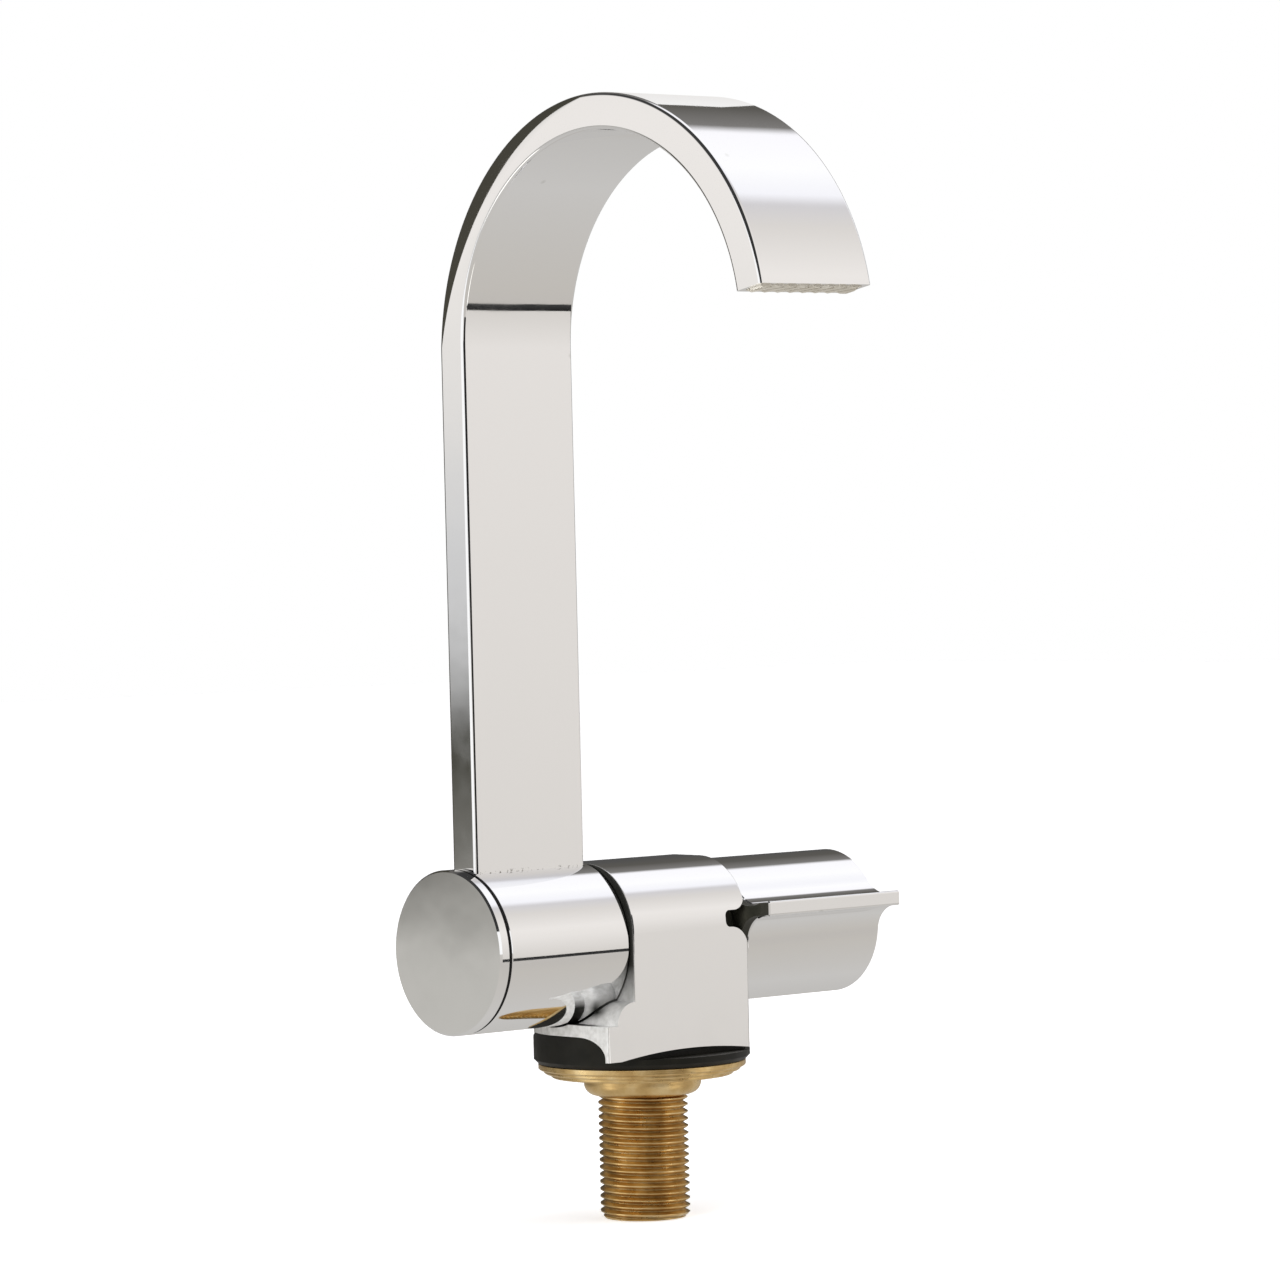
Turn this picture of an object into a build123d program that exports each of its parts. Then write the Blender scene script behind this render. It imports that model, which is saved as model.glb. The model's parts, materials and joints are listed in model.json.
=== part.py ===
from build123d import *
import math
import os

# Folding caravan tap with a flat ribbon spout, a side lever and a threaded brass tail.
# Millimetres. X runs along the fold axis with the lever at +X, the spout reaches towards -Y
# and +Z is up. The origin is on the stem axis, at the underside of the brass flange.

os.makedirs("parts", exist_ok=True)

# Travel of the fold and of the lever, in degrees
joint_travel = 90.0

# Gaps shared by all pieces
turning_gap = 0.05
static_gap = 0.02
seam_gap = 0.4
overrun = 2.0

# Brass flange, collar and threaded tail
flange_radius = 19.3
flange_rim_height = 1.2
flange_step_radius = 18.3
flange_step_height = 0.75
flange_foot_radius = 17.0
flange_foot_height = 0.75
flange_chamfer = 0.25
flange_bevel = 0.6
collar_radius = 10.9
collar_height = 3.5
collar_round = 2.2
thread_radius = 8.331
thread_depth = 0.856
thread_pitch = 1.337
thread_crest_share = 0.17
thread_root_share = 0.13
tail_length = 26.4
tail_chamfer = 0.9
water_radius = 4.25

# Swivel spigot of the tail inside the body
spigot_radius = 6.6
spigot_groove_depth = 1.3
spigot_seal_width = 1.45
swivel_groove_width = 2.2
spigot_land = 0.8
spigot_end_gap = 0.2

# Black ring between the flange and the body
ring_radius = 20.1
ring_disc_thickness = 1.85
ring_chamfer = 0.8
ring_skirt_gap = 0.1
ring_plug_gap = 0.15

# Hub barrel of the spout, on the fold axis
hub_radius = 15.0
hub_recess_share = 0.667
hub_recess_depth = 3.25
hub_edge = 0.12
cap_thickness = 1.95
cap_chamfer = 0.35
cap_rim_wall = 1.0
cap_rim_length = 1.1
cap_gasket_thickness = 0.75
cap_gasket_inset = 0.9

# Body housing
body_left_reach = 15.4
body_right_reach = 13.0
body_front_step = 0.7
body_top_step = 0.5
body_round_share = 0.855
body_edge = 0.35
skirt_depth = 4.3
skirt_wall = 0.9
skirt_round_width = 7.2
skirt_round_height = 3.7
skirt_bow = 1.3
skirt_heel = 3.2
skirt_run_out = 2.0
foot_wall = 1.45
foot_spread = 6.6
foot_arm_height = 2.2
foot_fillet = 4.2
foot_rear_round = 17.0
cradle_gap = 0.25
boss_wall = 3.0
boss_gap = 0.3
boss_rib_width = 7.0

# Notch in the front wall of the body, beside the lever
notch_depth = 5.4
notch_height = 3.1
notch_rise = 1.8
notch_tip_radius = 1.1
notch_upper_radius = 3.0
notch_lower_radius = 4.1

# Fold axle and the pieces that hold the hub on it
axle_share = 0.467
axle_thread_share = 0.785
axle_thread_length = 7.2
axle_bore_radius = 3.2
axle_port_radius = 2.0
axle_port_count = 4
axle_channel_depth = 1.6
axle_channel_share = 0.3065
axle_seal_width = 1.4
axle_seal_depth = 1.2
axle_seal_land_share = 0.0536
bulkhead = 3.0
bulkhead_gap = 0.2
bulkhead_port_radius = 3.0
bush_wall = 1.5
bush_length_share = 0.1533
glide_washer_thickness = 1.15
glide_washer_clear = 0.75
disc_spring_thickness = 0.5
disc_spring_height = 0.9
disc_spring_clear = 0.55
retaining_washer_clear = 0.6
retaining_washer_thickness = 0.9
retaining_screw_radius = 1.95
retaining_screw_length = 5.5
retaining_head_radius = 3.5
retaining_head_height = 1.2
hex_socket_depth_share = 0.6
hex_socket_size_share = 0.5

# Stop pin of the fold, in an arc groove of the body
stop_pin_radius = 1.2
stop_pin_length = 7.6
stop_pin_reach = 1.8
stop_wall = 0.8
stop_pin_gap = 0.1
stop_start_angle = 45.0

# Swivel set screw at the back of the body
set_screw_radius = 1.45
set_screw_recess = 0.6
set_screw_tip_radius = 0.9

# Ribbon spout
spout_width = 26.1
spout_thickness = 6.5
spout_forward = 1.46
spout_left_inset = 0.5
spout_right_inset = 1.2
spout_rise = 109.0
spout_wall = 1.2
spout_edge = 0.5
spout_root_wall = 0.4
arch_radius = 43.0
outlet_rise = 7.7
hub_port_share = 0.345
insert_length = 5.0
insert_proud = 0.45
insert_vane_count = 8
insert_vane_slant = 38.0
insert_slot_width = 1.1
insert_rim = 0.5
insert_notch_share = 0.8
insert_notch_height = 0.42

# Quarter-turn ceramic valve on the fold axis, right of the bulkhead
cavity_share = 0.627
cavity_floor = 2.1
cover_ring_share = 0.8
cover_ring_lap = 1.4
cover_ring_clear = 0.75
seat_seal_thickness = 1.4
seat_seal_share = 0.846
disc_thickness = 2.2
disc_slip = 0.03
disc_liner = 1.6
disc_step = 0.3
disc_port_inner_share = 0.16
disc_port_outer_share = 0.72
drive_bar_width = 2.0
drive_bar_height = 0.7
valve_wall = 1.05
valve_neck_share = 0.6
valve_neck_length = 9.0
valve_channel_depth = 0.75
valve_window_width = 8.0
valve_window_count = 4
inlet_port_radius = 2.6
gland_nut_slot = 1.6
gland_nut_slot_depth = 1.4
spindle_foot_height = 1.75
spindle_foot_width = 4.0
spindle_share = 0.625
spindle_square_share = 1.42
spindle_square_length = 7.5
spindle_seal_width = 1.3
spindle_seal_depth = 0.95
spindle_seal_inset = 3.5
spindle_tap_radius = 1.25

# Lever
lever_radius_share = 0.903
lever_length = 33.9
lever_wall = 1.4
lever_edge = 0.3
lever_gap = 0.15
carrier_plate_thickness = 1.95
carrier_inset = 0.2
carrier_boss = 11.0
carrier_boss_length = 8.95
carrier_neck_gap = 0.2
journal_length = 3.6
lever_web = 4.0
lip_reach_share = 1.436
lip_top_share = 0.48
lip_thickness = 3.05
lip_round = 0.4
lip_valley_angle = 37.0
lip_root_angle = 5.2
lip_root_inset = 0.95
lever_cap_thickness = 1.6
lever_cap_inset = 0.25
lever_cap_ledge = 0.5
lever_cap_chamfer = 0.3
lever_washer_radius = 7.8
lever_washer_thickness = 1.0
lever_screw_radius = 1.2
lever_screw_length = 8.0
lever_screw_head_radius = 2.7
lever_screw_head_height = 2.4

# Radii that follow the hub
hub_recess_radius = hub_radius * hub_recess_share
hub_length = spout_width + spout_left_inset + spout_right_inset
hub_port_width = spout_width * hub_port_share
bush_length = spout_width * bush_length_share
axle_channel_width = spout_width * axle_channel_share
axle_seal_land = spout_width * axle_seal_land_share
axle_radius = hub_radius * axle_share
axle_thread_radius = axle_radius * axle_thread_share
cavity_radius = hub_radius * cavity_share
cover_ring_radius = hub_radius * cover_ring_share
cover_ring_inner = cavity_radius - cover_ring_lap
fixed_disc_radius = cavity_radius - disc_liner
moving_disc_radius = fixed_disc_radius - disc_step
disc_port_inner = moving_disc_radius * disc_port_inner_share
disc_port_outer = moving_disc_radius * disc_port_outer_share
seat_seal_radius = fixed_disc_radius * seat_seal_share
valve_neck_radius = cavity_radius * valve_neck_share
spindle_radius = valve_neck_radius * spindle_share
spindle_square = spindle_radius * spindle_square_share
lever_radius = hub_radius * lever_radius_share
lip_reach = lever_radius * lip_reach_share
lip_top_rise = lever_radius * lip_top_share

# Heights up the stem
flange_step_low = flange_foot_height
flange_rim_low = flange_step_low + flange_step_height
flange_top = flange_rim_low + flange_rim_height
ring_bottom = flange_top + turning_gap
ring_disc_top = ring_bottom + ring_disc_thickness
skirt_bottom = ring_disc_top + ring_skirt_gap
underside = skirt_bottom + skirt_depth
cradle_radius = hub_radius + cradle_gap
fold_axis_height = underside + foot_wall + cradle_radius
spigot_bore_radius = spigot_radius + turning_gap
spigot_bore_top = fold_axis_height - cavity_radius - cavity_floor
spigot_top = spigot_bore_top - spigot_end_gap
boss_bottom = ring_disc_top + boss_gap
thread_top = -collar_height
tail_bottom = -tail_length

# Places along the fold axis
body_left = -body_left_reach
body_right = body_right_reach
hub_right = body_left - seam_gap
hub_left = hub_right - hub_length
cap_inner = hub_left - cap_gasket_thickness
cap_outer = cap_inner - cap_thickness
recess_end = hub_left + hub_recess_depth
socket_end = body_left + axle_thread_length + bulkhead_gap
cavity_end = socket_end + bulkhead
fixed_disc_start = cavity_end + seat_seal_thickness
moving_disc_start = fixed_disc_start + disc_thickness + disc_slip
spindle_foot_start = moving_disc_start + disc_thickness + disc_slip
spindle_foot_end = spindle_foot_start + spindle_foot_height
valve_step = spindle_foot_end + turning_gap
cover_ring_start = spigot_bore_radius + cover_ring_clear
gland_start = valve_step + valve_wall
lever_left = body_right + lever_gap
shell_left = lever_left + carrier_plate_thickness
shell_right = shell_left + lever_length
boss_end = shell_left + carrier_boss_length
spindle_end = shell_left + spindle_square_length

# Reach of the body around the fold axis
body_front = hub_radius + body_front_step
body_top = hub_radius - body_top_step
body_top_radius = body_top * body_round_share
skirt_drop = fold_axis_height - skirt_bottom
underside_drop = fold_axis_height - underside

# Spout places
spout_left = hub_left + spout_left_inset
spout_right = spout_left + spout_width
spout_back = -spout_forward + spout_thickness / 2
spout_front = -spout_forward - spout_thickness / 2
arch_inner_radius = arch_radius - spout_thickness
arch_center = spout_back - arch_radius
root_height = hub_recess_radius + spout_root_wall

fold_plane = Plane(origin=(0, 0, fold_axis_height), x_dir=(1, 0, 0), z_dir=(0, -1, 0))
fold_axis = Axis((0, 0, fold_axis_height), (1, 0, 0))

# The mouth of the spout: cut square to the ribbon's own direction, short of the half turn
mouth_lift = math.asin(outlet_rise / arch_radius)
mouth_middle_radius = (arch_radius + arch_inner_radius) / 2
mouth_y = arch_center - mouth_middle_radius * math.cos(mouth_lift)
mouth_z = spout_rise + mouth_middle_radius * math.sin(mouth_lift)
mouth_plane = Plane(
    origin=(spout_left, mouth_y, fold_axis_height + mouth_z),
    x_dir=(1, 0, 0),
    z_dir=(0, -math.sin(mouth_lift), -math.cos(mouth_lift)),
)


def cross_plane(x):
    """The plane across the fold axis at x, with local x along Y and local y up."""
    return Plane(origin=(x, 0, fold_axis_height), x_dir=(0, 1, 0), z_dir=(1, 0, 0))


def outline(plane, *points):
    """A closed straight-sided face on a plane."""
    with BuildSketch(plane) as face:
        with BuildLine():
            Polyline(*points, close=True)
        make_face()
    return face.sketch


def band(plane, low, high):
    """A rectangle on a plane from its low corner to its high corner."""
    return outline(plane, low, (high[0], low[1]), high, (low[0], high[1]))


def ring_part(inner, outer, start_angle):
    """A flat piece of a ring about the local origin, as long as the travel of the joints."""
    first = math.radians(start_angle)
    last = math.radians(start_angle + joint_travel)
    with BuildSketch(Plane.XY) as face:
        with BuildLine():
            CenterArc((0, 0), outer, start_angle, joint_travel)
            CenterArc((0, 0), inner, start_angle, joint_travel)
            for turn in (first, last):
                Line(
                    (inner * math.cos(turn), inner * math.sin(turn)),
                    (outer * math.cos(turn), outer * math.sin(turn)),
                )
        make_face()
    return face.sketch


def ring_edges(builder, radius, height):
    """The whole circles of a radius round the stem axis at a height."""
    found = []
    for edge in builder.edges().filter_by(GeomType.CIRCLE):
        if abs(edge.radius - radius) < static_gap and abs(edge.center().Z - height) < static_gap:
            found.append(edge)
    return found


def seal_ring(middle, wire, plane):
    """An O-ring: its middle radius, its wire radius and the plane that it lies on."""
    with BuildPart() as seal:
        with Locations(plane):
            Torus(middle, wire)
    return seal.part


def finish(piece, name):
    """Label one finished piece and write it."""
    piece.label = name
    export_step(piece, f"parts/{name}.step")
    return piece


# The brass tail: flange, collar, thread and spigot in one turned piece
thread_root_radius = thread_radius - thread_depth
seal_groove_radius = spigot_radius - spigot_groove_depth
lower_seal_low = boss_bottom + spigot_land
swivel_groove_low = lower_seal_low + spigot_seal_width + spigot_land
upper_seal_high = spigot_top - spigot_land
upper_seal_low = upper_seal_high - spigot_seal_width
swivel_height = swivel_groove_low + swivel_groove_width / 2
crest_flat = thread_pitch * thread_crest_share
root_flat = thread_pitch * thread_root_share
thread_count = int((tail_length - collar_height - tail_chamfer) / thread_pitch)

with BuildPart() as tail_piece:
    tail_outline = outline(
        Plane.XZ,
        (water_radius, tail_bottom),
        (thread_radius - tail_chamfer, tail_bottom),
        (thread_radius, tail_bottom + tail_chamfer),
        (thread_radius, thread_top),
        (collar_radius, thread_top),
        (collar_radius, 0),
        (flange_foot_radius - flange_bevel, 0),
        (flange_foot_radius, flange_bevel),
        (flange_foot_radius, flange_step_low),
        (flange_step_radius - flange_chamfer, flange_step_low),
        (flange_step_radius, flange_step_low + flange_chamfer),
        (flange_step_radius, flange_rim_low),
        (flange_radius - flange_chamfer, flange_rim_low),
        (flange_radius, flange_rim_low + flange_chamfer),
        (flange_radius, flange_top - flange_chamfer),
        (flange_radius - flange_chamfer, flange_top),
        (spigot_radius, flange_top),
        (spigot_radius, spigot_top),
        (water_radius, spigot_top),
    )
    revolve(tail_outline, axis=Axis.Z)
    collar_corner = ring_edges(tail_piece, collar_radius, thread_top)
    fillet(collar_corner, radius=collar_round)
    for low, width in (
        (lower_seal_low, spigot_seal_width),
        (swivel_groove_low, swivel_groove_width),
        (upper_seal_low, spigot_seal_width),
    ):
        groove = band(Plane.XZ, (seal_groove_radius, low), (spigot_radius + overrun, low + width))
        revolve(groove, axis=Axis.Z, mode=Mode.SUBTRACT)
    for turn in range(thread_count):
        high = thread_top - turn * thread_pitch
        mouth = thread_pitch - crest_flat
        slope = (mouth - root_flat) / 2
        thread_groove = outline(
            Plane.XZ,
            (thread_radius, high),
            (thread_root_radius, high - slope),
            (thread_root_radius, high - slope - root_flat),
            (thread_radius, high - mouth),
            (thread_radius + thread_depth, high - mouth),
            (thread_radius + thread_depth, high),
        )
        revolve(thread_groove, axis=Axis.Z, mode=Mode.SUBTRACT)
finish(tail_piece.part, "tail_piece")

# Two O-rings in the grooves of the spigot
spigot_seal_space = spigot_bore_radius - seal_groove_radius
spigot_seal_wire = spigot_seal_space / 2 - static_gap
spigot_seal_middle = seal_groove_radius + spigot_seal_space / 2
with BuildPart() as spigot_seals:
    for low in (lower_seal_low, upper_seal_low):
        seal_plane = Plane.XY.offset(low + spigot_seal_width / 2)
        add(seal_ring(spigot_seal_middle, spigot_seal_wire, seal_plane))
finish(spigot_seals.part, "spigot_seals")

# The cavity under the body, between its front and back skirts
boss_radius = spigot_bore_radius + boss_wall


def skirt_cavity(inset, left, right):
    """The block of space under the body, drawn in by an inset on its sides and top."""
    half = body_front - skirt_wall - inset
    top = -underside_drop - inset
    low = -skirt_drop - overrun
    wide = skirt_round_width - inset
    tall = skirt_round_height - inset
    with BuildPart() as cavity:
        with BuildSketch(cross_plane(left)):
            with BuildLine():
                Polyline((-half, top - tall), (-half, low), (half, low), (half, top - tall))
                EllipticalCenterArc((half - wide, top - tall), wide, tall, start_angle=0, arc_size=90)
                Line((half - wide, top), (wide - half, top))
                EllipticalCenterArc((wide - half, top - tall), wide, tall, start_angle=90, arc_size=90)
            make_face()
        extrude(amount=right - left)
    return cavity.part


# The black glide ring, with the plug that fills the space under the body
with BuildPart() as base_ring:
    with BuildSketch(Plane.XY.offset(ring_disc_top)):
        Circle(ring_radius)
    extrude(amount=skirt_depth + ring_skirt_gap)
    add(
        skirt_cavity(ring_plug_gap, -ring_radius - overrun, body_right - body_edge),
        mode=Mode.INTERSECT,
    )
    with BuildSketch(Plane.XY.offset(boss_bottom - boss_gap)):
        Circle(boss_radius + static_gap)
        with Locations((0, body_front / 2)):
            Rectangle(boss_rib_width + 2 * static_gap, body_front)
    extrude(amount=skirt_depth + overrun, mode=Mode.SUBTRACT)
    ring_outline = outline(
        Plane.XZ,
        (spigot_bore_radius, ring_bottom),
        (ring_radius - ring_chamfer, ring_bottom),
        (ring_radius, ring_bottom + ring_chamfer),
        (ring_radius, ring_disc_top),
        (spigot_bore_radius, ring_disc_top),
    )
    revolve(ring_outline, axis=Axis.Z)
finish(base_ring.part, "base_ring")

# The body housing
foot_left = body_left - foot_spread
foot_top = -underside_drop + foot_arm_height
stop_groove_half = stop_pin_radius + stop_pin_gap
stop_radius = body_top - stop_wall - stop_groove_half
stop_angle = math.radians(stop_start_angle)
stop_y = stop_radius * math.cos(stop_angle)
stop_z = stop_radius * math.sin(stop_angle)
cover_ring_bore = cover_ring_radius
window_left = moving_disc_start
window_right = spindle_foot_end
window_middle = (window_left + window_right) / 2
inlet_port_x = window_middle

with BuildPart() as body_housing:
    with BuildSketch(cross_plane(body_left)) as body_section:
        with BuildLine():
            Polyline(
                (-body_front, -skirt_drop),
                (body_front, -skirt_drop),
                (body_front, body_top),
                (-body_front, body_top),
                close=True,
            )
        make_face()
        fillet(body_section.vertices().group_by(Axis.Y)[-1], radius=body_top_radius)
    extrude(amount=body_right - body_left)
    with BuildSketch(Plane.XZ.offset(-body_front)) as foot_side:
        with BuildLine():
            Polyline(
                (body_left + overrun, skirt_bottom),
                (foot_left, skirt_bottom),
                (foot_left, fold_axis_height + foot_top),
                (body_left - foot_fillet, fold_axis_height + foot_top),
            )
            RadiusArc(
                (body_left - foot_fillet, fold_axis_height + foot_top),
                (body_left, fold_axis_height + foot_top + foot_fillet),
                foot_fillet,
            )
            Polyline(
                (body_left, fold_axis_height + foot_top + foot_fillet),
                (body_left + overrun, fold_axis_height + foot_top + foot_fillet),
                (body_left + overrun, skirt_bottom),
            )
        make_face()
    extrude(amount=2 * body_front)
    with BuildSketch(Plane.XY.offset(skirt_bottom)):
        with Locations((foot_left, body_front)):
            Rectangle(foot_rear_round, foot_rear_round, align=(Align.MIN, Align.MAX))
        with Locations((foot_left + foot_rear_round, body_front - foot_rear_round)):
            Circle(foot_rear_round, mode=Mode.SUBTRACT)
    extrude(amount=fold_axis_height + foot_top - skirt_bottom, mode=Mode.SUBTRACT)
    add(skirt_cavity(0, foot_left - overrun, body_right + overrun), mode=Mode.SUBTRACT)
    # The low edge of each skirt is bowed up a little from its heel on
    skirt_start = foot_left + skirt_heel
    skirt_end = body_right + skirt_run_out
    skirt_middle = (skirt_start + skirt_end) / 2
    with BuildSketch(Plane.XZ.offset(-body_front - overrun)):
        with BuildLine():
            ThreePointArc(
                (skirt_start, skirt_bottom),
                (skirt_middle, skirt_bottom + skirt_bow),
                (skirt_end, skirt_bottom),
            )
            Line((skirt_end, skirt_bottom), (skirt_start, skirt_bottom))
        make_face()
    extrude(amount=2 * (body_front + overrun), mode=Mode.SUBTRACT)
    # Room for the hub to turn in the cradle of the foot
    cradle = band(fold_plane, (foot_left - overrun, 0), (body_left, cradle_radius))
    revolve(cradle, axis=fold_axis, mode=Mode.SUBTRACT)
    outer_corners = body_housing.edges().filter_by(Axis.Z)
    fillet(outer_corners.group_by(Axis.Y)[0], radius=body_edge)
    # Boss and rib round the swivel spigot
    with BuildSketch(Plane.XY.offset(boss_bottom)):
        Circle(boss_radius)
        with Locations((0, (body_front - body_edge) / 2)):
            Rectangle(boss_rib_width, body_front - body_edge)
    extrude(amount=skirt_depth)
    with BuildSketch(Plane.XY.offset(boss_bottom - overrun)):
        Circle(spigot_bore_radius)
    extrude(amount=spigot_bore_top - boss_bottom + overrun, mode=Mode.SUBTRACT)
    with BuildSketch(Plane.XY.offset(spigot_bore_top - overrun)):
        with Locations((inlet_port_x, 0)):
            Circle(inlet_port_radius)
    extrude(amount=cavity_floor + 2 * overrun, mode=Mode.SUBTRACT)
    # Valve cavity, ring counterbore, bulkhead port and axle socket along the fold axis
    for start, end, radius in (
        (cavity_end, body_right + overrun, cavity_radius),
        (cover_ring_start, body_right + overrun, cover_ring_bore),
        (socket_end - overrun, cavity_end + overrun, bulkhead_port_radius),
        (body_left - overrun, socket_end, axle_thread_radius),
    ):
        bore = band(fold_plane, (start, 0), (end, radius))
        revolve(bore, axis=fold_axis, mode=Mode.SUBTRACT)
    # Arc groove for the stop pin
    stop_inner = stop_radius - stop_groove_half
    stop_outer = stop_radius + stop_groove_half
    with BuildSketch(cross_plane(body_left - overrun)):
        add(ring_part(stop_inner, stop_outer, stop_start_angle))
        with Locations((stop_y, stop_z), (-stop_y, stop_z)):
            Circle(stop_groove_half)
    extrude(amount=overrun + stop_pin_reach + stop_pin_gap, mode=Mode.SUBTRACT)
    # Notch at the lever end of the front wall
    notch_low = fold_axis_height + notch_rise
    notch_high = notch_low + notch_height
    notch_tip = body_right - notch_depth
    with BuildSketch(Plane.XZ.offset(body_front + overrun)):
        with BuildLine():
            Polyline(
                (body_right + overrun, notch_low - notch_lower_radius),
                (body_right, notch_low - notch_lower_radius),
            )
            RadiusArc(
                (body_right, notch_low - notch_lower_radius),
                (body_right - notch_lower_radius, notch_low),
                -notch_lower_radius,
            )
            Line(
                (body_right - notch_lower_radius, notch_low),
                (notch_tip + notch_tip_radius, notch_low),
            )
            RadiusArc(
                (notch_tip + notch_tip_radius, notch_low),
                (notch_tip, notch_low + notch_tip_radius),
                notch_tip_radius,
            )
            Line(
                (notch_tip, notch_low + notch_tip_radius),
                (notch_tip, notch_high - notch_tip_radius),
            )
            RadiusArc(
                (notch_tip, notch_high - notch_tip_radius),
                (notch_tip + notch_tip_radius, notch_high),
                notch_tip_radius,
            )
            Line(
                (notch_tip + notch_tip_radius, notch_high),
                (body_right - notch_upper_radius, notch_high),
            )
            RadiusArc(
                (body_right - notch_upper_radius, notch_high),
                (body_right, notch_high + notch_upper_radius),
                -notch_upper_radius,
            )
            Polyline(
                (body_right, notch_high + notch_upper_radius),
                (body_right + overrun, notch_high + notch_upper_radius),
                (body_right + overrun, notch_low - notch_lower_radius),
            )
        make_face()
    extrude(amount=-(body_front + overrun - cavity_radius), mode=Mode.SUBTRACT)
    # Hole for the swivel set screw
    with BuildSketch(Plane.XZ.offset(-body_front - overrun)):
        with Locations((0, swivel_height)):
            Circle(set_screw_radius + static_gap)
    extrude(amount=body_front + overrun - seal_groove_radius, mode=Mode.SUBTRACT)
finish(body_housing.part, "body_housing")

# Swivel set screw: its tip rides in the middle groove of the spigot
set_screw_back = body_front - body_edge - set_screw_recess
set_screw_shoulder = spigot_bore_radius + spigot_end_gap
set_screw_socket = set_screw_radius * hex_socket_size_share
with BuildPart() as swivel_screw:
    screw_plane = Plane(origin=(0, 0, swivel_height), x_dir=(1, 0, 0), z_dir=(0, 1, 0))
    with BuildSketch(screw_plane.offset(set_screw_shoulder)):
        Circle(set_screw_radius)
    extrude(amount=set_screw_back - set_screw_shoulder)
    with BuildSketch(screw_plane.offset(seal_groove_radius + spigot_end_gap)):
        Circle(set_screw_tip_radius)
    extrude(amount=set_screw_shoulder - seal_groove_radius - spigot_end_gap)
    with BuildSketch(screw_plane.offset(set_screw_back)):
        RegularPolygon(set_screw_socket, 6)
    extrude(amount=-2 * set_screw_radius, mode=Mode.SUBTRACT)
finish(swivel_screw.part, "swivel_screw")

# Fold axle: threaded into the body, hollow, with ports to the hub
axle_shoulder = body_left
bush_inner_start = hub_right - glide_washer_thickness - turning_gap + seam_gap
axle_end = recess_end - disc_spring_height - turning_gap
right_bush_left = bush_inner_start - bush_length
right_seal_high = right_bush_left - axle_seal_land
right_seal_low = right_seal_high - axle_seal_width
channel_high = right_seal_low - axle_seal_land
channel_low = channel_high - axle_channel_width
channel_middle = (channel_high + channel_low) / 2
left_seal_high = channel_low - axle_seal_land
left_seal_low = left_seal_high - axle_seal_width
axle_groove_radius = axle_radius - axle_seal_depth
tap_depth = retaining_screw_length + spigot_end_gap
with BuildPart() as fold_axle:
    axle_outline = outline(
        fold_plane,
        (axle_end, 0),
        (axle_end, axle_radius),
        (axle_shoulder, axle_radius),
        (axle_shoulder, axle_thread_radius - static_gap),
        (axle_shoulder + axle_thread_length, axle_thread_radius - static_gap),
        (axle_shoulder + axle_thread_length, 0),
    )
    revolve(axle_outline, axis=fold_axis)
    for low, high, radius in (
        (right_seal_low, right_seal_high, axle_groove_radius),
        (channel_low, channel_high, axle_radius - axle_channel_depth),
        (left_seal_low, left_seal_high, axle_groove_radius),
    ):
        groove = band(fold_plane, (low, radius), (high, axle_radius + overrun))
        revolve(groove, axis=fold_axis, mode=Mode.SUBTRACT)
    axle_bore = band(
        fold_plane,
        (channel_low, 0),
        (axle_shoulder + axle_thread_length + overrun, axle_bore_radius),
    )
    revolve(axle_bore, axis=fold_axis, mode=Mode.SUBTRACT)
    axle_tap = band(fold_plane, (axle_end - overrun, 0), (axle_end + tap_depth, retaining_screw_radius))
    revolve(axle_tap, axis=fold_axis, mode=Mode.SUBTRACT)
    for index in range(axle_port_count):
        port_angle = 2 * math.pi * index / axle_port_count
        port_way = Vector(0, math.cos(port_angle), math.sin(port_angle))
        port_plane = Plane(origin=(channel_middle, 0, fold_axis_height), x_dir=(1, 0, 0), z_dir=port_way)
        with BuildSketch(port_plane):
            Circle(axle_port_radius)
        extrude(amount=axle_radius, mode=Mode.SUBTRACT)
finish(fold_axle.part, "fold_axle")

# Two O-rings in the grooves of the axle
hub_bore_radius = axle_radius + turning_gap
axle_seal_space = hub_bore_radius - axle_groove_radius
axle_seal_wire = axle_seal_space / 2 - static_gap
axle_seal_middle = axle_groove_radius + axle_seal_space / 2
with BuildPart() as axle_seals:
    for low in (right_seal_low, left_seal_low):
        seal_plane = cross_plane(low + axle_seal_width / 2)
        add(seal_ring(axle_seal_middle, axle_seal_wire, seal_plane))
finish(axle_seals.part, "axle_seals")

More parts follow.
